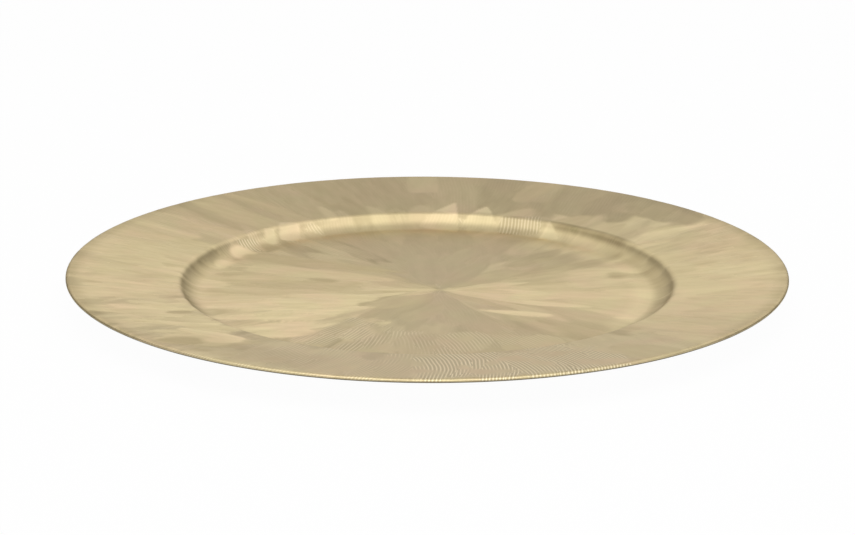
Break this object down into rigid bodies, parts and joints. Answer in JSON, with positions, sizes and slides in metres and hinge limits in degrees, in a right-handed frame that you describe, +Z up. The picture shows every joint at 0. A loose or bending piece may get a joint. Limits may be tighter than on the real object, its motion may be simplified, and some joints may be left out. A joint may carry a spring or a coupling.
{
  "type": "decorative plate",
  "caption": "Round charger plate with a shallow well, a broad sloping rim and a brushed metallic gold face; it lies under a dinner plate or carries a display.",
  "frame": {"origin": "on the plate's axis, in the plane that the foot ring stands on", "axes": "+Z up along the plate's axis, out of the well; -Y towards the viewer of the picture"},
  "size_m": [0.33, 0.33, 0.0148],
  "materials": {
    "body_plastic": "satin moulded plastic, dark bronze",
    "gold_film": "satin metallised gold film, embossed with brushed strokes"
  },
  "bodies": {
    "root": {"plate_body": "body_plastic", "gold_face": "gold_film"}
  },
  "joints": []
}
